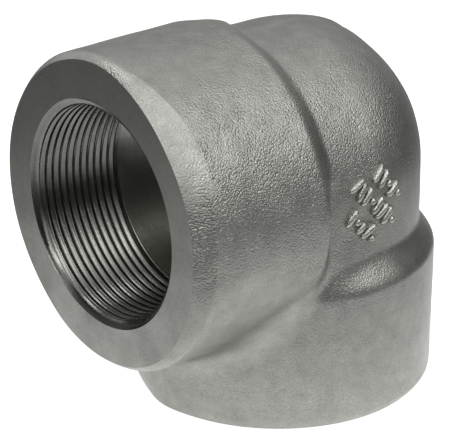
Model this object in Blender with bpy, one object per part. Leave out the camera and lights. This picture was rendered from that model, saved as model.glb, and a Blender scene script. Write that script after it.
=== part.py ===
"""Forged steel threaded elbow, 90 degrees, pipe size 2, class 3000.

One forging: two thick bands round the ports, a smaller body with a ball-shaped heel
between them, and one bored way through.  The lower port stands on the floor and the
side port faces -Y.  Metres, +Z up, origin under the middle of the part.
"""

import math

import bmesh
import bpy
from mathutils import Matrix, Vector

MM = 0.001

# Outside of the forging
CENTRE_TO_END = 61.2 * MM
BAND_RADIUS = 42.4 * MM
BAND_LENGTH = 37.9 * MM
SHOULDER_LENGTH = 8.9 * MM
BODY_RADIUS = 38.4 * MM
BEND_ANGLE = math.radians(90.0)

# Machined end face and the forged edge round it
FACE_RADIUS = 40.3 * MM
EDGE_LENGTH = 8.5 * MM
EDGE_CURVE = 2.4

# Bore: countersunk mouth, taper for the pipe thread, then the plain flow way
MOUTH_RADIUS = 30.3 * MM
MOUTH_DEPTH = 1.6 * MM
CREST_RADIUS = 28.3 * MM
THREAD_LENGTH = 26.4 * MM
TAPER = 1.0 / 32.0
FLOW_RADIUS = 26.9 * MM

# Facets
SEGMENTS = 96
HEEL_STEPS = 14
FLOW_STEPS = 10
EDGE_STEPS = 5
SHOULDER_STEPS = 8
WELD = 0.001 * MM

# The bend is built level and then turned, so that the lower port faces down
HALF_BEND = BEND_ANGLE / 2
HALF_WIDTH = BAND_RADIUS


def heel_profile(radius, steps):
    """Quarter circle from the pole behind the bend to the widest ring."""
    points = []
    for step in range(steps + 1):
        angle = math.pi / 2 * step / steps
        points.append((radius * math.sin(angle), -radius * math.cos(angle)))
    return points


def shoulder_profile():
    """Soft S-shaped rise from the body to the full band."""
    foot = CENTRE_TO_END - BAND_LENGTH - SHOULDER_LENGTH
    points = []
    for step in range(SHOULDER_STEPS + 1):
        share = step / SHOULDER_STEPS
        rise = (1 - math.cos(math.pi * share)) / 2
        radius = BODY_RADIUS + (BAND_RADIUS - BODY_RADIUS) * rise
        points.append((radius, foot + SHOULDER_LENGTH * share))
    return points


def edge_profile():
    """Rounded forged edge that falls from the band to the machined face."""
    points = []
    for step in range(EDGE_STEPS + 1):
        share = step / EDGE_STEPS
        radius = BAND_RADIUS - (BAND_RADIUS - FACE_RADIUS) * share ** EDGE_CURVE
        points.append((radius, CENTRE_TO_END - EDGE_LENGTH * (1 - share)))
    return points


def bore_profile():
    """Mouth, tapered thread length and step down to the flow way."""
    thread_end = CENTRE_TO_END - THREAD_LENGTH
    end_crest = CREST_RADIUS - THREAD_LENGTH * TAPER
    mouth_crest = CREST_RADIUS - MOUTH_DEPTH * TAPER
    return [
        (MOUTH_RADIUS, CENTRE_TO_END),
        (mouth_crest, CENTRE_TO_END - MOUTH_DEPTH),
        (end_crest, thread_end),
        (FLOW_RADIUS, thread_end - (end_crest - FLOW_RADIUS)),
    ]


def port_profile():
    """Whole section of one port, from the heel round the face to the back of the bore."""
    outside = heel_profile(BODY_RADIUS, HEEL_STEPS)
    outside += shoulder_profile() + edge_profile()
    inside = bore_profile() + heel_profile(FLOW_RADIUS, FLOW_STEPS)[::-1]
    return outside + inside


def turned_half():
    """Turn the section about the port's axis and keep the port's side of the mitre."""
    mesh = bmesh.new()
    profile = [mesh.verts.new((radius, 0.0, along)) for radius, along in port_profile()]
    edges = [mesh.edges.new(pair) for pair in zip(profile, profile[1:])]
    bmesh.ops.spin(
        mesh,
        geom=profile + edges,
        cent=(0.0, 0.0, 0.0),
        axis=(0.0, 0.0, 1.0),
        angle=2 * math.pi,
        steps=SEGMENTS,
        use_merge=True,
    )
    bmesh.ops.remove_doubles(mesh, verts=mesh.verts[:], dist=WELD)
    bmesh.ops.recalc_face_normals(mesh, faces=mesh.faces[:])
    to_port = Matrix.Rotation(HALF_BEND, 4, "X")
    bmesh.ops.transform(mesh, matrix=to_port, verts=mesh.verts[:])
    bmesh.ops.bisect_plane(
        mesh,
        geom=mesh.verts[:] + mesh.edges[:] + mesh.faces[:],
        dist=WELD,
        plane_co=(0.0, 0.0, 0.0),
        plane_no=(0.0, 0.0, 1.0),
        clear_inner=True,
    )
    return mesh


def forged_steel():
    """Grey forged steel with a dull grain."""
    material = bpy.data.materials.new("forged_steel")
    material.use_nodes = True
    shader = material.node_tree.nodes["Principled BSDF"]
    shader.inputs["Base Color"].default_value = (0.30, 0.30, 0.28, 1.0)
    shader.inputs["Metallic"].default_value = 1.0
    shader.inputs["Roughness"].default_value = 0.5
    return material


def make_elbow():
    """One forging: a turned half, mirrored across the mitre plane of the bend."""
    data = bpy.data.meshes.new("elbow_body")
    half = turned_half()
    half.to_mesh(data)
    half.free()
    data.shade_smooth()
    data.set_sharp_from_angle(angle=math.radians(28.0))
    data.materials.append(forged_steel())
    elbow = bpy.data.objects.new("elbow_body", data)
    bpy.context.scene.collection.objects.link(elbow)
    mirror = elbow.modifiers.new("other_port", "MIRROR")
    mirror.use_axis = (False, False, True)
    mirror.use_mirror_merge = True
    mirror.merge_threshold = WELD
    middle = (CENTRE_TO_END - HALF_WIDTH) / 2
    elbow.location = Vector((0.0, middle, CENTRE_TO_END))
    elbow.rotation_euler = (HALF_BEND, 0.0, 0.0)
    return elbow


for old in list(bpy.data.objects):
    bpy.data.objects.remove(old, do_unlink=True)

make_elbow()
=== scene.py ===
"""Threaded elbow: the skin of the forging, its turned faces and its cut threads, on a pale floor."""
import math

import bmesh
import bpy
import numpy as np
from mathutils import Matrix, Vector


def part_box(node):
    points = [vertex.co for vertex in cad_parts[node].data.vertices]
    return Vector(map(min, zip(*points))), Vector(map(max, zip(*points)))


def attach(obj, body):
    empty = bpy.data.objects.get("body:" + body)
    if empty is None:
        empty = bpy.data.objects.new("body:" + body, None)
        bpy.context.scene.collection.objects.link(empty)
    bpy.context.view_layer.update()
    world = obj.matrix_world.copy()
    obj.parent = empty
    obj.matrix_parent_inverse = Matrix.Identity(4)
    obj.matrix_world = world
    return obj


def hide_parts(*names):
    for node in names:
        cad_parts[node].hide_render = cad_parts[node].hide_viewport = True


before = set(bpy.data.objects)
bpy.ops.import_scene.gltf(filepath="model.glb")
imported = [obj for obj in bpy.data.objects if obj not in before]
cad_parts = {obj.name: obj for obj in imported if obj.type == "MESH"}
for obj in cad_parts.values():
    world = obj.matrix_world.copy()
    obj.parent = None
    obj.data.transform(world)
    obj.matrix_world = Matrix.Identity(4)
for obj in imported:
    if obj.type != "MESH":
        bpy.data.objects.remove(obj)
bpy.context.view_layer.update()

MM = 0.001

# Places and main sizes, read from the frame
LOW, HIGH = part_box("elbow_body")
BAND_RADIUS = (HIGH.x - LOW.x) / 2
CROSSING = Vector((0.0, HIGH.y - BAND_RADIUS, HIGH.z - BAND_RADIUS))
CENTRE_TO_END = CROSSING.z - LOW.z

# Skin of the forging; stops pair an angle in degrees about a port's axis with a size in mm
BODY_RADIUS = BAND_RADIUS - 4.25 * MM
PARTING_STEP = 0.5 * MM
PARTING_WIDTH = 1.0 * MM
BAND_DRAFT = 0.3 * MM
SIDE_DRAFT_STOPS = ((20, 0.3), (70, 0.8), (140, 0.8), (190, 0.3))
BAND_START = 23.3 * MM
SHOULDER_FOOT = 14.4 * MM
SIDE_START_STOPS = ((-40, 22.1), (-25, 21.9), (-10, 20.9), (0, 20.6), (5, 21.2), (10, 22.4),
                    (17, 23.0), (26, 23.5), (45, 23.3), (200, 23.3))
LOWER_START_STOPS = ((-60, 25.0), (-8, 25.0), (3, 24.7), (12, 24.2), (30, 23.6), (45, 23.3), (200, 23.3))
LOWER_FOOT_STOPS = ((-60, 15.6), (-8, 15.4), (5, 15.0), (20, 15.2), (40, 14.4), (200, 14.4))
SIDE_FOOT_STOPS = ((-60, 14.4), (-27, 14.6), (-12, 16.5), (5, 16.4), (16, 14.4), (200, 14.4))
CORNER_START = 24.3 * MM
CORNER_EDGE = 17.3 * MM
CORNER_FOOT = 15.6 * MM
CORNER_SHARE = 0.76
NEAR_COSINE = 0.42
FAR_COSINE = -0.09
HEEL_SWELLS = (
    ((-0.03, 0.51, 0.86), 1.65 * MM, math.radians(12)),
    ((0.35, 0.78, 0.52), 0.65 * MM, math.radians(16)),
    ((0.845, -0.38, -0.382), 2.7 * MM, math.radians(8)),
)
CREASE_BLEND = 14.0 * MM
WIDEST_BLEND = 8.5 * MM
LEAST_BLEND = 0.01 * MM
JUNCTION_SHARE = 0.1

# Soft waves left by the dies; lengths in mm
WAVE_SEED = 11
WAVE_COUNT = 36
WAVE_LENGTHS = (7, 26)
WAVE_HEIGHT = 0.05 * MM
WAVE_SPREAD = 3
WAVE_FADE = 4 * MM

# Forged edge beside each end face, with stops as above; the chamfer's stops give its share
LOWER_FACE_STOPS = ((200, 40.3), (240, 40.4), (256, 40.6), (268, 42.0), (280, 41.2), (295, 40.8),
                    (325, 40.3))
EDGE_LENGTH = 8.5 * MM
RIDGE_DROP = 0.15 * MM
ROUND_POWER = 1.5
SIDE_FACE_STOPS = ((-60, 40.3), (-15, 38.9), (15, 38.3), (40, 37.9), (60, 38.8), (80, 40.1), (90, 40.3),
                   (110, 40.0), (140, 39.9), (165, 40.2), (195, 40.1), (215, 39.8), (230, 39.9),
                   (244, 40.5), (262, 40.5))
SIDE_RIDGE_STOPS = ((-45, 2.8), (-15, 4.3), (20, 4.9), (42, 6.6), (50, 5.9), (60, 4.5), (77, 2.4),
                    (105, 2.8))
SIDE_CHAMFER_STOPS = ((-50, 0.0), (-15, 1.0), (75, 1.0), (100, 0.0))
SIDE_BULGE_STOPS = ((6, 0.35), (22, -0.25), (46, -0.25), (64, 0.25), (100, 0.35))
STOP_SOFTNESS = 4
LOWER_RIDGE_STOPS = ((215, 2.8), (238, 4.8), (258, 5.2), (272, 2.8))

# Bore and thread: a nominal 2 inch taper pipe thread
MOUTH_RADIUS = 30.3 * MM
MOUTH_SLOPE = 1.9
LIP_LENGTH = 0.5 * MM
CREST_RADIUS = 28.3 * MM
TAPER = 1 / 32
PITCH = 2.209 * MM
THREAD_LENGTH = 26.4 * MM
CREST_SHARE = 0.18
EASED_SHARE = 0.26
EASED_GROOVE = 0.11
ROOT_SHARE = 0.04
FLANK_ANGLE = math.radians(60)
THREAD_DEPTH = (0.5 - CREST_SHARE - ROOT_SHARE) * math.tan(FLANK_ANGLE) * PITCH
SPARE_TURNS = 2
RUN_OUT = 1.5 * MM
FLOW_RADIUS = 26.9 * MM
BORE_EASE = 3.0 * MM

# Mesh resolution; rows of the skin lie closer over the shoulder and in the crease
COLUMNS = 216
ROWS_A_TURN = 6
RUN_ROWS = 86
BORE_ROWS = 12
PATH_SAMPLES = 500
RIDGE_SHARES = (0, 0.03, 0.1, 0.22, 0.36, 0.5, 0.64, 0.78, 0.9, 0.97, 1.0)
BEHIND_RIDGE_SHARES = (0.03, 0.1, 0.22, 0.4, 0.6, 0.8, 1.0)
FACE_SHARES = (0.02, 0.25, 0.5, 0.75, 0.98, 1.0)
SHOULDER_MIDDLE = 18.5 * MM
SHOULDER_REACH = 6 * MM
SHOULDER_DENSITY = 3.0
CREASE_REACH = 4.5 * MM
CREASE_DENSITY = 5
SEARCH_FROM = 20 * MM
SEARCH_TO = 90 * MM
HALVINGS = 32

# Forged steel: scales are grains per metre, and stops pair a place on the ramp with a grey level
STEEL_WARMTH = (0.988, 1.0, 0.925)
PEBBLE_SCALE = 2050
PEBBLE_SMOOTHNESS = 0.15
LUMP_SCALE = 1800
LUMP_SHARE = 0.5
GRIT_SCALE = 3000
GRIT_SHARE = 0.2
PATCH_SCALE = 75
SMUDGE_SCALE = 210
SMUDGE_SHARE = 0.5
GRAIN_HEIGHT = 0.145 * MM
FORGED_STOPS = ((0.30, 0.21), (0.48, 0.285), (0.60, 0.325), (0.72, 0.41))
FORGED_ROUGHNESS = (0.42, 0.32)
GRIT_RANGE = (0.35, 0.65)
# Raised marks: their colour is brighter by this share as a painted highlight, and their roughness lower as
# on worn steel
RUBBED_AND_HIGHLIGHT_SHARE = 0.35
RUBBED_GLOSS = 0.25

# Strength of the grain: from and to, in metres along Z or Y or in noise, and its share at each
GRAIN_UPWARD = (0.030, 0.070, 0.45, 1.3)
GRAIN_TOWARD_HEEL = (-0.015, 0.015, 1.0, 0.72)
GRAIN_BEHIND_EDGE = (-0.0470, -0.0445, 0.0, 1.0)
GRAIN_BELOW_TOP = (0.070, 0.083, 1.0, 0.4)
GRAIN_PATCHES = (0.38, 0.62, 0.55, 1.1)

# Cut steel: name, grey level, tool marks per metre, roughness, height of marks and of torn grain
CUT_FINISHES = (
    ("turned_face", 0.31, 2600, 0.40, 0.012 * MM, 0.03 * MM),
    ("cut_thread", 0.19, 1800, 0.22, 0.006 * MM, 0.04 * MM),
    ("drilled_bore", 0.42, 900, 0.30, 0.02 * MM, 0.03 * MM),
)
CUT_STOPS = ((0.32, 0.75), (0.5, 1.0), (0.7, 1.25))
STAIN_SCALE = 90
STAIN_RANGE = (0.3, 0.7)
TORN_SCALE = 1500
TOOL_MARK_SHARE = 0.18
STAIN_SHARE = 0.47
TORN_SHARE = 0.35
STAIN_DULLING = 0.06
CLEAN_GLOSS = 0.05

# Raised marks of the forging die
MARKS_SEED = 5
MARKS_DIRECTION = (1.0, -0.035, -0.03)
MARKS_SLANT = math.radians(-45)
MARKS_A_ROW = (5, 8, 5)
MARK_ROW_SHIFTS = (0.9 * MM, 0.0, 0.6 * MM)
MARK_STEP = 2.5 * MM
MARK_ROW_STEP = 7.0 * MM
MARK_HALF_LENGTHS = (2.9, 2.9, 2.0, 1.1)
MARK_HALF_WIDTH = 0.95 * MM
MARK_HEIGHT = 1.35 * MM
MARK_LEAN = 0.16
MARK_STRAY = 0.3
PILL_LEVELS = 8
PILL_STEPS = 14
PILL_POWER = 0.75

# Camera at the photograph's view
VIEW_AZIMUTH = math.radians(50.651)
VIEW_ELEVATION = math.radians(22.45)
VIEW_ROLL = math.radians(-0.753)
VIEW_DISTANCE = 0.51623
AIM = CROSSING + Vector((-0.02398, 0.0, -0.02549))
LENS = 143.57
SENSOR_WIDTH = 36
NEAR_CLIP = 0.01

# Floor and world: what the camera and the steel see of them, and the light that they give
FLOOR_RADIUS = 6.0
FLOOR_SEGMENTS = 96
FLOOR_COLOUR = (0.8, 0.8, 0.8, 1)
FLOOR_GAP = 0.2 * MM
FLOOR_GLOW = 0.80
FLOOR_REFLECTED = 0.86
WORLD_FILL = 0.35

# Floor round the elbow as the steel reflects it; stops pair a share of the way out with a level
FAR_FLOOR_START = 0.064
FAR_FLOOR_END = 0.36
FAR_FLOOR_STOPS = ((0.0, 1.0), (0.05, 0.97), (0.31, 0.71), (0.49, 0.32), (0.64, 0.25), (1.0, 0.065))
FAR_FLOOR_LEVEL = 1.13
FAR_FLOOR_SHIFT = (0.0, -0.003)
FAR_FLOOR_SEGMENTS = 72

# Soft lights: name, azimuth and elevation in degrees, distance, size, brightness in the steel
SOFTBOXES = (
    ("key_softbox", 75, 66, 0.75, 0.50, 1.2),
    ("front_softbox", 20, 37, 0.75, 0.33, 2.9),
    ("side_softbox", 112, 40, 0.75, 0.32, 3.0),
    ("left_softbox", -43, 53, 0.75, 0.20, 4.8),
)

# Cards round the table: start and end azimuth in degrees, radius, top height, brightness
WALL_STEP = 5
DARK_WALLS = (
    (-90, -60, 0.24, 0.120, 0.03),
    (-66, -16, 0.60, 0.660, 0.17),
    (-60, -35, 0.22, 0.072, 0.20),
    (-20, 15, 0.50, 0.250, 0.45),
    (-35, 10, 0.22, 0.100, 0.04),
    (10, 60, 0.22, 0.105, 0.05),
    (60, 110, 0.22, 0.105, 0.11),
    (110, 135, 0.22, 0.100, 0.33),
    (132, 187, 0.24, 0.195, 0.17),
    (135, 185, 0.22, 0.172, 0.17),
    (185, 270, 0.22, 0.172, 0.34),
    (185, 260, 0.26, 0.300, 0.65),
)

FORGED, TURNED, THREADED, DRILLED = range(4)


class Port:
    """One end of the elbow: its outward axis, the direction away from the other port, and its hand."""

    def __init__(self, out, away, hand):
        self.out = np.array(out, float)
        self.away = np.array(away, float)
        self.hand = hand

    def point(self, radius, theta, along):
        """Point at a radius and an angle about the axis, and a distance along it from the crossing."""
        across = radius * np.cos(theta)
        aside = radius * np.sin(theta)
        return (across[..., None] * np.array((1.0, 0.0, 0.0))
                + aside[..., None] * self.away + along[..., None] * self.out)


SIDE = Port((0, -1, 0), (0, 0, 1), -1)
LOWER = Port((0, 0, -1), (0, 1, 0), 1)
THETA = np.arange(COLUMNS) * 2 * math.pi / COLUMNS


def smooth_step(low, high, value):
    share = np.clip((value - low) / (high - low), 0, 1)
    return share * share * (3 - 2 * share)


def body_radius(direction):
    """Radius of body and heel in a direction from the crossing, with the parting step and swells."""
    far_side = smooth_step(PARTING_WIDTH / 2, -PARTING_WIDTH / 2, direction[..., 0] * BODY_RADIUS)
    radius = BODY_RADIUS + PARTING_STEP * far_side
    for centre, height, spread in HEEL_SWELLS:
        angle = np.arccos(np.clip(direction @ np.array(Vector(centre).normalized()), -1, 1))
        radius = radius + height * np.exp(-0.5 * (angle / spread) ** 2)
    return radius


def near_rise(along, foot=SHOULDER_FOOT, start=BAND_START):
    """Share of the rise from the body to the band on the near die half, a soft S from its foot."""
    share = np.clip((along - foot) / (start - foot), 0, 1)
    return (1 - np.cos(math.pi * share)) / 2


def far_rise(along):
    """The same on the far die half, where the band ends in a firmer corner."""
    return np.interp(along, (CORNER_FOOT, CORNER_EDGE, CORNER_START), (0, CORNER_SHARE, 1))


def around(theta, stops):
    """Size at angles about a port's axis, from stops in degrees, with the corners softened."""
    places, sizes = zip(*stops)
    ring = np.interp(np.arange(360), places, sizes, period=360)
    reach = np.arange(-3 * STOP_SOFTNESS, 3 * STOP_SOFTNESS + 1)
    weights = np.exp(-0.5 * (reach / STOP_SOFTNESS) ** 2)
    soft = sum(weight * np.roll(ring, shift) for weight, shift in zip(weights, reach)) / weights.sum()
    return np.interp(np.degrees(theta), np.arange(360), soft, period=360)


def face_radius(theta, port):
    """Outer radius of the turned face: smaller by the side port's chamfer, fuller at one low corner."""
    return around(theta, SIDE_FACE_STOPS if port is SIDE else LOWER_FACE_STOPS) * MM


def ridge_depth(theta, port):
    """Distance behind the face at which the forged edge reaches its ridge."""
    return around(theta, SIDE_RIDGE_STOPS if port is SIDE else LOWER_RIDGE_STOPS) * MM


def band_draft(theta, port):
    """How much the band narrows from its shoulder to its edge."""
    return around(theta, SIDE_DRAFT_STOPS) * MM if port is SIDE else BAND_DRAFT


def edge_radius(along, theta, port):
    """Radius of the forged edge: a chamfer with a ridge on the near top, a round elsewhere."""
    depth = CENTRE_TO_END - along
    face = face_radius(theta, port)
    ridge = ridge_depth(theta, port)
    inner = np.clip(depth / ridge, 0, 1)
    outer = np.clip((depth - ridge) / (EDGE_LENGTH - ridge), 0, 1)
    rise = BAND_RADIUS - band_draft(theta, port) / 2 - RIDGE_DROP - face
    bulge = around(theta, SIDE_BULGE_STOPS) * MM
    chamfer = face + rise * inner + 4 * bulge * inner * (1 - inner) + RIDGE_DROP * outer
    rounded = face + rise * (1 - (1 - inner) ** ROUND_POWER) + RIDGE_DROP * (1 - (1 - outer) ** 2)
    share = around(theta, SIDE_CHAMFER_STOPS) if port is SIDE else 0.0
    return share * chamfer + (1 - share) * rounded


def skin_radius(along, theta, direction, port):
    """Radius of the skin about a port's axis, on the port's own side of the crossing."""
    body = body_radius(direction)
    edge_start = CENTRE_TO_END - EDGE_LENGTH
    share = np.clip((edge_start - along) / (edge_start - BAND_START), 0, 1)
    band = BAND_RADIUS + band_draft(theta, port) * (share - 0.5)
    far = smooth_step(NEAR_COSINE, FAR_COSINE, np.cos(theta))
    foot = around(theta, SIDE_FOOT_STOPS if port is SIDE else LOWER_FOOT_STOPS) * MM
    start = around(theta, SIDE_START_STOPS if port is SIDE else LOWER_START_STOPS) * MM
    near = near_rise(along, foot, start)
    rise = (1 - far) * near + far * far_rise(along)
    radius = body + (band - body) * rise
    in_edge = along > edge_start
    return np.where(in_edge, np.minimum(radius, edge_radius(along, theta, port)), radius)


def inside_depth(points, port):
    """How far points lie inside a port's own solid, and the solid's outward direction there."""
    along = points @ port.out
    aside = points @ port.away
    reach = np.hypot(points[..., 0], aside)
    length = np.linalg.norm(points, axis=-1)
    direction = points / length[..., None]
    theta = np.arctan2(aside, points[..., 0])
    tube = skin_radius(along, theta, direction, port) - reach
    ball = body_radius(direction) - length
    in_tube = (along > 0)[..., None]
    outward = (points - along[..., None] * port.out) / reach[..., None]
    return np.where(along > 0, tube, ball), np.where(in_tube, outward, direction)


def union_depth(points):
    """How far points lie inside the two ports together, with a soft fillet where they meet at an angle."""
    side, side_normal = inside_depth(points, SIDE)
    lower, lower_normal = inside_depth(points, LOWER)
    apart = 1 - np.sum(side_normal * lower_normal, axis=-1)
    on_bands = np.maximum(near_rise(points @ SIDE.out), near_rise(points @ LOWER.out))
    blend = CREASE_BLEND * np.maximum(apart, JUNCTION_SHARE * on_bands)
    blend = np.clip(blend, LEAST_BLEND, WIDEST_BLEND)
    share = np.clip(1 - np.abs(side - lower) / blend, 0, 1)
    return np.maximum(side, lower) + share * share * blend / 4


def skin_points(directions):
    """Points of the skin along directions from the crossing, found by halving."""
    inner = np.full(directions.shape[:-1], SEARCH_FROM)
    outer = np.full(directions.shape[:-1], SEARCH_TO)
    for _ in range(HALVINGS):
        middle = (inner + outer) / 2
        inside = union_depth(directions * middle[..., None]) > 0
        inner = np.where(inside, middle, inner)
        outer = np.where(inside, outer, middle)
    return directions * inner[..., None]


def waves(points):
    """Soft uneven swells left by the dies, as a sum of seeded sine waves."""
    chance = np.random.default_rng(WAVE_SEED)
    height = np.zeros(points.shape[:-1])
    for _ in range(WAVE_COUNT):
        heading = chance.normal(size=3)
        heading /= np.linalg.norm(heading)
        length = chance.uniform(*WAVE_LENGTHS) * MM
        phase = chance.uniform(0, 2 * math.pi)
        wave = np.sin(points @ heading * 2 * math.pi / length + phase)
        height += wave * length / (WAVE_LENGTHS[1] * MM)
    return WAVE_HEIGHT * height / WAVE_SPREAD


def roughen(points, fade):
    """Moves skin points out or in by the waves, along their direction from the crossing."""
    length = np.linalg.norm(points, axis=-1, keepdims=True)
    return points * (1 + (waves(points) * fade)[..., None] / length)


def mitre_angle(theta):
    """Angle from a port's axis, at the crossing, of the plane where the two ports meet."""
    return np.arctan2(1.0, -np.sin(theta))


def skin_rows(port):
    """Rings of the skin from the face's edge to the mitre plane."""
    ridge = ridge_depth(THETA, port)
    depths = [ridge * share for share in RIDGE_SHARES]
    depths += [ridge + (EDGE_LENGTH - ridge) * share for share in BEHIND_RIDGE_SHARES]
    rows = []
    for depth in depths:
        along = CENTRE_TO_END - depth
        rough_points = port.point(np.full(COLUMNS, BAND_RADIUS), THETA, along)
        direction = rough_points / np.linalg.norm(rough_points, axis=-1, keepdims=True)
        radius = skin_radius(along, THETA, direction, port)
        points = port.point(radius, THETA, along)
        rows.append(roughen(points, np.clip(depth / WAVE_FADE, 0, 1)))
    start = np.arctan2(BAND_RADIUS, CENTRE_TO_END - EDGE_LENGTH)
    polar = np.zeros((RUN_ROWS, COLUMNS))
    for column, theta in enumerate(THETA):
        end = mitre_angle(theta)
        path = np.linspace(start, end, PATH_SAMPLES)
        along = np.where(path < math.pi / 2, BAND_RADIUS / np.tan(path), BODY_RADIUS * np.cos(path))
        radius = np.where(path < math.pi / 2, BAND_RADIUS, BODY_RADIUS * np.sin(path))
        step = np.hypot(np.diff(along), np.diff(radius))
        middle = (along[1:] + along[:-1]) / 2
        to_mitre = np.cumsum(step[::-1])[::-1]
        crease = max(0.0, -math.sin(theta))
        on_shoulder = np.abs(middle - SHOULDER_MIDDLE) < SHOULDER_REACH
        in_crease = crease * (to_mitre < CREASE_REACH)
        density = 1 + SHOULDER_DENSITY * on_shoulder + CREASE_DENSITY * in_crease
        total = np.concatenate(([0], np.cumsum(step * density)))
        polar[:, column] = np.interp(np.linspace(0, total[-1], RUN_ROWS + 1)[1:], total, path)
    directions = port.point(np.sin(polar), np.broadcast_to(THETA, polar.shape), np.cos(polar))
    points = skin_points(directions)
    return rows + list(roughen(points, 1.0))


def bore_rows(port):
    """Rings of the smooth flow bore from the end of the thread to the mitre plane."""
    along = CENTRE_TO_END - THREAD_LENGTH - BORE_EASE
    start = math.atan2(FLOW_RADIUS, along)
    rows = []
    for row in range(BORE_ROWS + 1):
        polar = start + (mitre_angle(THETA) - start) * row / BORE_ROWS
        in_tube = polar < math.pi / 2
        radius = np.where(in_tube, FLOW_RADIUS, FLOW_RADIUS * np.sin(polar))
        reach = np.where(in_tube, FLOW_RADIUS / np.tan(polar), FLOW_RADIUS * np.cos(polar))
        rows.append(port.point(radius, THETA, reach))
    return rows


class Surface:
    """Vertices and faces of the forging as they are added, with the finish of each face."""

    def __init__(self):
        self.places = []
        self.faces = []
        self.finishes = []

    def ring(self, points):
        first = len(self.places)
        self.places.extend(points)
        return list(range(first, first + len(points)))

    def face(self, corners, finish, port):
        kept = [c for i, c in enumerate(corners) if c != corners[i - 1]]
        if len(set(kept)) < 3:
            return
        self.faces.append(kept if port is SIDE else kept[::-1])
        self.finishes.append(finish)

    def bridge(self, first, second, finish, port):
        for column in range(COLUMNS):
            after = (column + 1) % COLUMNS
            self.face((first[column], first[after], second[after], second[column]), finish, port)


def thread_phases():
    """Place of each row within a turn, with how deep the groove is there, for a 60 degree thread."""
    down = [(CREST_SHARE, 0.0), (EASED_SHARE, EASED_GROOVE), (0.5 - ROOT_SHARE, 1.0)]
    return down + [(1 - place, groove) for place, groove in reversed(down)]


def thread_radius(depth, groove):
    crest = CREST_RADIUS - depth * TAPER
    fade = np.clip((THREAD_LENGTH - depth) / RUN_OUT, 0, 1)
    countersink = MOUTH_RADIUS - LIP_LENGTH - (depth - LIP_LENGTH) * MOUTH_SLOPE
    return max(crest + groove * THREAD_DEPTH * fade, countersink)


def thread_wall(surface, lip, port):
    """Helical rows from the mouth's lip to the end of the thread; returns the ring at the end."""
    phases = thread_phases()
    end_radius = CREST_RADIUS - THREAD_LENGTH * TAPER
    end = surface.ring(port.point(np.full(COLUMNS, end_radius), THETA,
                                  np.full(COLUMNS, CENTRE_TO_END - THREAD_LENGTH)))
    turns = math.ceil(THREAD_LENGTH / PITCH)
    made = {}

    def vertex(row, column):
        if column == COLUMNS:
            row, column = row + ROWS_A_TURN * port.hand, 0
        phase, groove = phases[row % ROWS_A_TURN]
        depth = PITCH * (row // ROWS_A_TURN + phase + port.hand * column / COLUMNS)
        if depth <= LIP_LENGTH:
            return lip[column]
        if depth >= THREAD_LENGTH:
            return end[column]
        if (row, column) not in made:
            made[row, column] = len(surface.places)
            radius = np.array(thread_radius(depth, groove))
            surface.places.append(port.point(radius, THETA[column], np.array(CENTRE_TO_END - depth)))
        return made[row, column]

    for row in range(-SPARE_TURNS * ROWS_A_TURN, (turns + SPARE_TURNS) * ROWS_A_TURN):
        for column in range(COLUMNS):
            corners = (vertex(row, column), vertex(row, column + 1),
                       vertex(row + 1, column + 1), vertex(row + 1, column))
            surface.face(corners, THREADED, port)
    return end


def build_forging():
    """The whole elbow as one closed mesh."""
    surface = Surface()
    shared_skin = None
    shared_bore = None
    for port in (SIDE, LOWER):
        rows = skin_rows(port)
        rings = [surface.ring(points) for points in rows[:-1]]
        shared_skin = shared_skin or surface.ring(rows[-1])
        rings.append(shared_skin)
        for upper, lower in zip(rings, rings[1:]):
            surface.bridge(lower, upper, FORGED, port)
        previous = rings[0]
        for share in FACE_SHARES:
            outer = face_radius(THETA, port)
            radius = outer + (MOUTH_RADIUS - outer) * share
            ring = surface.ring(port.point(radius, THETA, np.full(COLUMNS, CENTRE_TO_END)))
            surface.bridge(previous, ring, TURNED, port)
            previous = ring
        lip = surface.ring(port.point(np.full(COLUMNS, MOUTH_RADIUS - LIP_LENGTH), THETA,
                                      np.full(COLUMNS, CENTRE_TO_END - LIP_LENGTH)))
        surface.bridge(previous, lip, THREADED, port)
        end = thread_wall(surface, lip, port)
        bore = bore_rows(port)
        rings = [end] + [surface.ring(points) for points in bore[:-1]]
        shared_bore = shared_bore or surface.ring(bore[-1])
        rings.append(shared_bore)
        for upper, lower in zip(rings, rings[1:]):
            surface.bridge(upper, lower, DRILLED, port)
    mesh = bpy.data.meshes.new("forged_elbow")
    places = np.array(surface.places) + np.array(CROSSING)
    mesh.from_pydata(places.tolist(), [], surface.faces)
    mesh.polygons.foreach_set("material_index", surface.finishes)
    mesh.polygons.foreach_set("use_smooth", [True] * len(surface.faces))
    return mesh


def node(tree, kind, **values):
    """Adds a shader node; values are its settings, or its inputs by name with _ for a space."""
    made = tree.nodes.new(kind)
    for name, value in values.items():
        if hasattr(made, name):
            setattr(made, name, value)
        else:
            made.inputs[name.replace("_", " ")].default_value = value
    return made


def new_material(name):
    material = bpy.data.materials.new(name)
    material.use_nodes = True
    tree = material.node_tree
    tree.nodes.clear()
    shader = node(tree, "ShaderNodeBsdfPrincipled", Metallic=1.0)
    output = node(tree, "ShaderNodeOutputMaterial")
    tree.links.new(shader.outputs["BSDF"], output.inputs["Surface"])
    return material, tree, shader


def noise(tree, coordinate, scale, detail=2.0, roughness=0.5, output="Fac"):
    made = node(tree, "ShaderNodeTexNoise", Scale=scale, Detail=detail, Roughness=roughness)
    tree.links.new(coordinate, made.inputs["Vector"])
    return made.outputs[output]


def remap(tree, value, low, high, new_low, new_high):
    made = node(tree, "ShaderNodeMapRange", From_Min=low, From_Max=high, To_Min=new_low, To_Max=new_high)
    tree.links.new(value, made.inputs["Value"])
    return made.outputs["Result"]


def combine(tree, operation, first, second):
    made = node(tree, "ShaderNodeMath", operation=operation)
    for socket, value in zip(made.inputs, (first, second)):
        if isinstance(value, (int, float)):
            socket.default_value = value
        else:
            tree.links.new(value, socket)
    return made.outputs["Value"]


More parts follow.
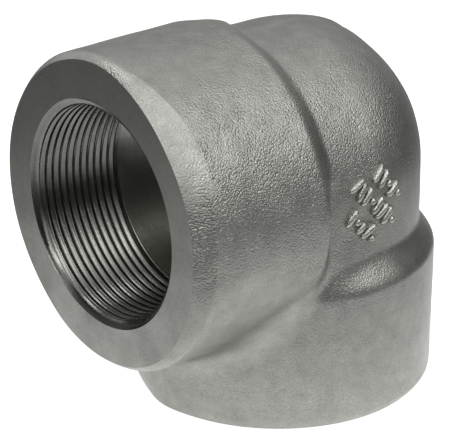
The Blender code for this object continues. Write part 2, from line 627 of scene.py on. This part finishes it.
def tint(tree, value, stops):
    """Colour ramp from grey levels at the stops."""
    made = node(tree, "ShaderNodeValToRGB")
    ramp = made.color_ramp
    while len(ramp.elements) < len(stops):
        ramp.elements.new(0.5)
    for element, (place, level) in zip(ramp.elements, stops):
        element.position = place
        element.color = (*(level * share for share in STEEL_WARMTH), 1)
    tree.links.new(value, made.inputs["Fac"])
    return made.outputs["Color"]


def bump(tree, shader, height, distance, strength=1.0):
    made = node(tree, "ShaderNodeBump", Distance=distance, Strength=strength)
    tree.links.new(height, made.inputs["Height"])
    tree.links.new(made.outputs["Normal"], shader.inputs["Normal"])


def cells(tree, coordinate, scale, smoothness):
    """Rounded grains: 0 at the middle of a grain, higher towards its rim."""
    made = node(tree, "ShaderNodeTexVoronoi", feature="SMOOTH_F1", Scale=scale, Smoothness=smoothness)
    tree.links.new(coordinate, made.inputs["Vector"])
    return made.outputs["Distance"]


def forged_steel(name="forged_steel_blasted", rub_and_highlight=0.0):
    """Shot-blasted forging: close pebbles and soft dark smudges; on raised marks, a brighter colour as a
    painted highlight and a glossier worn finish.
    """
    material, tree, shader = new_material(name)
    place = node(tree, "ShaderNodeTexCoord").outputs["Object"]
    axes = node(tree, "ShaderNodeSeparateXYZ")
    tree.links.new(place, axes.inputs["Vector"])
    pebbles = cells(tree, place, PEBBLE_SCALE, PEBBLE_SMOOTHNESS)
    domes = combine(tree, "MULTIPLY", pebbles, pebbles)
    lumps = noise(tree, place, LUMP_SCALE, detail=2.0, roughness=0.6)
    grit = noise(tree, place, GRIT_SCALE, detail=2.0, roughness=0.6)
    patches = noise(tree, place, PATCH_SCALE, detail=2.0, roughness=0.5)
    smudges = noise(tree, place, SMUDGE_SCALE, detail=4.0, roughness=0.65)
    upper = remap(tree, axes.outputs["Z"], *GRAIN_UPWARD)
    behind_edge = remap(tree, axes.outputs["Y"], *GRAIN_BEHIND_EDGE)
    below_top = remap(tree, axes.outputs["Z"], *GRAIN_BELOW_TOP)
    toward_heel = remap(tree, axes.outputs["Y"], *GRAIN_TOWARD_HEEL)
    upper = combine(tree, "MULTIPLY", upper, toward_heel)
    spread = combine(tree, "MULTIPLY", upper, combine(tree, "MAXIMUM", behind_edge, below_top))
    amount = combine(tree, "MULTIPLY", spread, remap(tree, patches, *GRAIN_PATCHES))
    grains = combine(tree, "MULTIPLY", domes, combine(tree, "MULTIPLY", amount, -1.0))
    fine = combine(tree, "ADD", combine(tree, "MULTIPLY", grit, GRIT_SHARE),
                   combine(tree, "MULTIPLY", combine(tree, "MULTIPLY", lumps, LUMP_SHARE), amount))
    bump(tree, shader, combine(tree, "ADD", grains, fine), GRAIN_HEIGHT)
    mottled = combine(tree, "ADD", combine(tree, "MULTIPLY", smudges, SMUDGE_SHARE),
                      combine(tree, "MULTIPLY", grit, 1 - SMUDGE_SHARE))
    # A brighter colour on raised marks is a painted highlight
    colour = tint(tree, mottled, [(stop, level * (1 + rub_and_highlight)) for stop, level in FORGED_STOPS])
    tree.links.new(colour, shader.inputs["Base Color"])
    dull, bright = (roughness - RUBBED_GLOSS * rub_and_highlight for roughness in FORGED_ROUGHNESS)
    tree.links.new(remap(tree, grit, *GRIT_RANGE, dull, bright), shader.inputs["Roughness"])
    return material


def turned_steel(name, level, scale, roughness, depth, tear):
    """Turned or drilled steel with fine tool marks round the port's axis and a torn grain."""
    material, tree, shader = new_material(name)
    turning = node(tree, "ShaderNodeAttribute", attribute_name="turning").outputs["Vector"]
    place = node(tree, "ShaderNodeTexCoord").outputs["Object"]
    marks = noise(tree, turning, scale, detail=2.0, roughness=0.7)
    stains = noise(tree, place, STAIN_SCALE, detail=4.0, roughness=0.6)
    speckle = noise(tree, place, TORN_SCALE, detail=3.0, roughness=0.65)
    torn = combine(tree, "MULTIPLY", speckle, tear / depth)
    bump(tree, shader, combine(tree, "ADD", marks, torn), depth)
    mixed = combine(tree, "ADD", combine(tree, "MULTIPLY", marks, TOOL_MARK_SHARE),
                    combine(tree, "MULTIPLY", stains, STAIN_SHARE))
    mixed = combine(tree, "ADD", mixed, combine(tree, "MULTIPLY", speckle, TORN_SHARE))
    colour = tint(tree, mixed, [(stop, level * share) for stop, share in CUT_STOPS])
    tree.links.new(colour, shader.inputs["Base Color"])
    stained = remap(tree, stains, *STAIN_RANGE, roughness + STAIN_DULLING, roughness - CLEAN_GLOSS)
    tree.links.new(stained, shader.inputs["Roughness"])
    return material


def add_turning(mesh):
    """Stores where each point lies about its nearer port, for tool marks that run round the bore."""
    values = []
    for vertex in mesh.vertices:
        point = np.array(vertex.co) - np.array(CROSSING)
        port = SIDE if point @ SIDE.out > point @ LOWER.out else LOWER
        reach = math.hypot(point[0], point @ port.away)
        values.extend((reach, point @ port.out, 0.0))
    attribute = mesh.attributes.new("turning", "FLOAT_VECTOR", "POINT")
    attribute.data.foreach_set("vector", values)


def sharpen_borders(mesh):
    """Keeps a crisp edge wherever one finish meets another."""
    edit = bmesh.new()
    edit.from_mesh(mesh)
    for edge in edit.edges:
        first, second = edge.link_faces
        edge.smooth = first.material_index == second.material_index
    edit.to_mesh(mesh)
    edit.free()


def add_forging():
    mesh = build_forging()
    add_turning(mesh)
    mesh.materials.append(forged_steel())
    for finish in CUT_FINISHES:
        mesh.materials.append(turned_steel(*finish))
    sharpen_borders(mesh)
    piece = bpy.data.objects.new("forged_elbow", mesh)
    bpy.context.collection.objects.link(piece)
    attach(piece, "root")
    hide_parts("elbow_body")


def add_pill(edit, centre, along, across, out, sizes):
    """One raised stroke with rounded ends, half sunk in the surface; sizes are its three half lengths."""
    rings = []
    for level in range(1, PILL_LEVELS):
        tilt = math.pi * level / PILL_LEVELS
        ring = []
        for step in range(PILL_STEPS):
            turn = 2 * math.pi * step / PILL_STEPS
            shares = (math.sin(tilt) * math.cos(turn), math.sin(tilt) * math.sin(turn), math.cos(tilt))
            boxed = [math.copysign(abs(share) ** PILL_POWER, share) for share in shares]
            point = centre + along * boxed[0] * sizes[0] + across * boxed[1] * sizes[1]
            ring.append(edit.verts.new(point + out * boxed[2] * sizes[2]))
        rings.append(ring)
    top = edit.verts.new(centre + out * sizes[2])
    bottom = edit.verts.new(centre - out * sizes[2])
    for step in range(PILL_STEPS):
        after = (step + 1) % PILL_STEPS
        edit.faces.new((top, rings[0][step], rings[0][after]))
        edit.faces.new((bottom, rings[-1][after], rings[-1][step]))
        for upper, lower in zip(rings, rings[1:]):
            edit.faces.new((upper[step], lower[step], lower[after], upper[after]))


def add_raised_marks():
    """Three slanted rows of plain raised strokes on the near side of the body."""
    chance = np.random.default_rng(MARKS_SEED)
    middle = Vector(MARKS_DIRECTION).normalized()
    level = Vector((0, 0, 1)).cross(middle).normalized()
    upward = middle.cross(level)
    line = (level * math.cos(MARKS_SLANT) + upward * math.sin(MARKS_SLANT)).normalized()
    stroke = middle.cross(line).normalized()
    edit = bmesh.new()
    for row, count in enumerate(MARKS_A_ROW):
        for number in range(count):
            along = (number - (count - 1) / 2) * MARK_STEP + MARK_ROW_SHIFTS[row]
            across = (row - 1) * MARK_ROW_STEP
            out = (middle * BODY_RADIUS + line * along + stroke * across).normalized()
            reach = float(np.linalg.norm(skin_points(np.array([out]))[0]))
            lean = chance.normal(0, MARK_LEAN)
            length = chance.choice(MARK_HALF_LENGTHS) * MM
            offset = chance.normal(0, MARK_STRAY) * MM
            heading = (stroke + line * lean).normalized()
            heading = (heading - out * heading.dot(out)).normalized()
            side = out.cross(heading)
            centre = CROSSING + out * reach + heading * offset
            add_pill(edit, centre, heading, side, out, (length, MARK_HALF_WIDTH, MARK_HEIGHT))
    bmesh.ops.recalc_face_normals(edit, faces=edit.faces)
    mesh = bpy.data.meshes.new("raised_marks")
    edit.to_mesh(mesh)
    edit.free()
    mesh.polygons.foreach_set("use_smooth", [True] * len(mesh.polygons))
    # The raised strokes use a brighter copy of the steel: a painted highlight, with a glossier worn finish
    mesh.materials.append(forged_steel("forged_steel_worn_and_painted_highlight", RUBBED_AND_HIGHLIGHT_SHARE))
    marks = bpy.data.objects.new("raised_marks", mesh)
    bpy.context.collection.objects.link(marks)
    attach(marks, "root")


def add_camera():
    back = Vector((math.sin(VIEW_AZIMUTH) * math.cos(VIEW_ELEVATION),
                   -math.cos(VIEW_AZIMUTH) * math.cos(VIEW_ELEVATION),
                   math.sin(VIEW_ELEVATION)))
    level_right = (-back).cross(Vector((0, 0, 1))).normalized()
    level_up = level_right.cross(-back)
    right = math.cos(VIEW_ROLL) * level_right + math.sin(VIEW_ROLL) * level_up
    up = -math.sin(VIEW_ROLL) * level_right + math.cos(VIEW_ROLL) * level_up
    data = bpy.data.cameras.new("camera")
    data.lens = LENS
    data.sensor_width = SENSOR_WIDTH
    data.clip_start = NEAR_CLIP
    camera = bpy.data.objects.new("camera", data)
    bpy.context.collection.objects.link(camera)
    turn = Matrix((right, up, back)).transposed().to_4x4()
    camera.matrix_world = Matrix.Translation(AIM + back * VIEW_DISTANCE) @ turn
    bpy.context.scene.camera = camera


def seen_rays(tree):
    """Two switches: one for rays of the camera, reflections and glass, one for reflections alone."""
    path = node(tree, "ShaderNodeLightPath")
    reflected = path.outputs["Is Glossy Ray"]
    seen = combine(tree, "MAXIMUM", path.outputs["Is Camera Ray"], reflected)
    return combine(tree, "MAXIMUM", seen, path.outputs["Is Transmission Ray"]), reflected


def add_floor():
    """Wide pale floor that reads white and keeps the soft shadow."""
    mesh = bpy.data.meshes.new("floor")
    ring = bmesh.new()
    bmesh.ops.create_circle(ring, cap_ends=True, radius=FLOOR_RADIUS, segments=FLOOR_SEGMENTS)
    ring.to_mesh(mesh)
    ring.free()
    material = bpy.data.materials.new("floor_white")
    material.use_nodes = True
    tree = material.node_tree
    tree.nodes.clear()
    surface = node(tree, "ShaderNodeBsdfDiffuse")
    surface.inputs["Color"].default_value = FLOOR_COLOUR
    glow = node(tree, "ShaderNodeEmission")
    seen, reflected = seen_rays(tree)
    extra = combine(tree, "MULTIPLY", reflected, FLOOR_REFLECTED - FLOOR_GLOW)
    strength = combine(tree, "ADD", combine(tree, "MULTIPLY", seen, FLOOR_GLOW), extra)
    tree.links.new(strength, glow.inputs["Strength"])
    both = node(tree, "ShaderNodeAddShader")
    output = node(tree, "ShaderNodeOutputMaterial")
    tree.links.new(surface.outputs["BSDF"], both.inputs[0])
    tree.links.new(glow.outputs["Emission"], both.inputs[1])
    tree.links.new(both.outputs["Shader"], output.inputs["Surface"])
    mesh.materials.append(material)
    floor = bpy.data.objects.new("floor", mesh)
    bpy.context.collection.objects.link(floor)
    floor.location.z = LOW.z - FLOOR_GAP


def set_world():
    """White world as the camera and the steel see it, dimmer as a light."""
    world = bpy.data.worlds.new("studio")
    bpy.context.scene.world = world
    world.use_nodes = True
    tree = world.node_tree
    background = tree.nodes["Background"]
    strength = remap(tree, seen_rays(tree)[0], 0, 1, WORLD_FILL, 1.0)
    background.inputs["Color"].default_value = (1, 1, 1, 1)
    tree.links.new(strength, background.inputs["Strength"])


def only_in_reflections(card):
    """Hides a card from everything but the steel's reflections."""
    card.visible_camera = False
    card.visible_diffuse = False
    card.visible_shadow = False
    card.visible_transmission = False


def aside(azimuth, elevation, distance):
    """Place around the crossing: azimuth 0 is in front of the side port, 90 on the +X side."""
    azimuth = math.radians(azimuth)
    elevation = math.radians(elevation)
    level = distance * math.cos(elevation)
    return CROSSING + Vector((level * math.sin(azimuth), -level * math.cos(azimuth),
                              distance * math.sin(elevation)))


def add_softbox(name, azimuth, elevation, distance, size, radiance):
    """Square soft light aimed at the elbow, with the brightness that the steel reflects."""
    data = bpy.data.lights.new(name, "AREA")
    data.shape = "SQUARE"
    data.size = size
    data.energy = radiance * math.pi * size * size
    lamp = bpy.data.objects.new(name, data)
    bpy.context.collection.objects.link(lamp)
    lamp.location = aside(azimuth, elevation, distance)
    lamp.rotation_euler = (CROSSING - lamp.location).to_track_quat("-Z", "Y").to_euler()


def add_dark_wall(name, start, end, radius, top, level):
    """Upright curved card round the table that shows only in the steel's reflections."""
    points = []
    for azimuth in range(start, end + 1, WALL_STEP):
        turn = math.radians(azimuth)
        for height in (LOW.z, top):
            points.append((radius * math.sin(turn), -radius * math.cos(turn), height))
    faces = [(i, i + 1, i + 3, i + 2) for i in range(0, len(points) - 2, 2)]
    mesh = bpy.data.meshes.new(name)
    mesh.from_pydata(points, [], faces)
    material = bpy.data.materials.new(name)
    material.use_nodes = True
    tree = material.node_tree
    tree.nodes.clear()
    glow = node(tree, "ShaderNodeEmission", Strength=level)
    output = node(tree, "ShaderNodeOutputMaterial")
    tree.links.new(glow.outputs["Emission"], output.inputs["Surface"])
    mesh.materials.append(material)
    card = bpy.data.objects.new(name, mesh)
    bpy.context.collection.objects.link(card)
    only_in_reflections(card)


def add_far_floor():
    """Floor away from the elbow as the steel reflects it: darker with distance."""
    mesh = bpy.data.meshes.new("far_floor")
    points = []
    for radius in (FAR_FLOOR_START, FAR_FLOOR_END):
        for step in range(FAR_FLOOR_SEGMENTS):
            turn = 2 * math.pi * step / FAR_FLOOR_SEGMENTS
            points.append((radius * math.cos(turn), radius * math.sin(turn), 0.0))
    faces = []
    for step in range(FAR_FLOOR_SEGMENTS):
        after = (step + 1) % FAR_FLOOR_SEGMENTS
        faces.append((step, after, FAR_FLOOR_SEGMENTS + after, FAR_FLOOR_SEGMENTS + step))
    mesh.from_pydata(points, [], faces)
    material = bpy.data.materials.new("far_floor")
    material.use_nodes = True
    tree = material.node_tree
    tree.nodes.clear()
    distance = node(tree, "ShaderNodeVectorMath", operation="LENGTH")
    tree.links.new(node(tree, "ShaderNodeTexCoord").outputs["Object"], distance.inputs[0])
    share = remap(tree, distance.outputs["Value"], FAR_FLOOR_START, FAR_FLOOR_END, 0, 1)
    ramp = node(tree, "ShaderNodeValToRGB")
    while len(ramp.color_ramp.elements) < len(FAR_FLOOR_STOPS):
        ramp.color_ramp.elements.new(0.5)
    for element, (stop, level) in zip(ramp.color_ramp.elements, FAR_FLOOR_STOPS):
        element.position = stop
        element.color = (level, level, level, 1)
    tree.links.new(share, ramp.inputs["Fac"])
    level = combine(tree, "MULTIPLY", ramp.outputs["Color"], FAR_FLOOR_LEVEL)
    glow = node(tree, "ShaderNodeEmission")
    tree.links.new(level, glow.inputs["Strength"])
    output = node(tree, "ShaderNodeOutputMaterial")
    tree.links.new(glow.outputs["Emission"], output.inputs["Surface"])
    mesh.materials.append(material)
    card = bpy.data.objects.new("far_floor", mesh)
    bpy.context.collection.objects.link(card)
    card.location = (CROSSING.x + FAR_FLOOR_SHIFT[0], CROSSING.y + FAR_FLOOR_SHIFT[1], LOW.z)
    only_in_reflections(card)


add_camera()
add_floor()
add_far_floor()
set_world()
for softbox in SOFTBOXES:
    add_softbox(*softbox)
for number, card in enumerate(DARK_WALLS):
    add_dark_wall(f"dark_wall_{number}", *card)
add_forging()
add_raised_marks()

bpy.context.scene.view_settings.view_transform = "Standard"
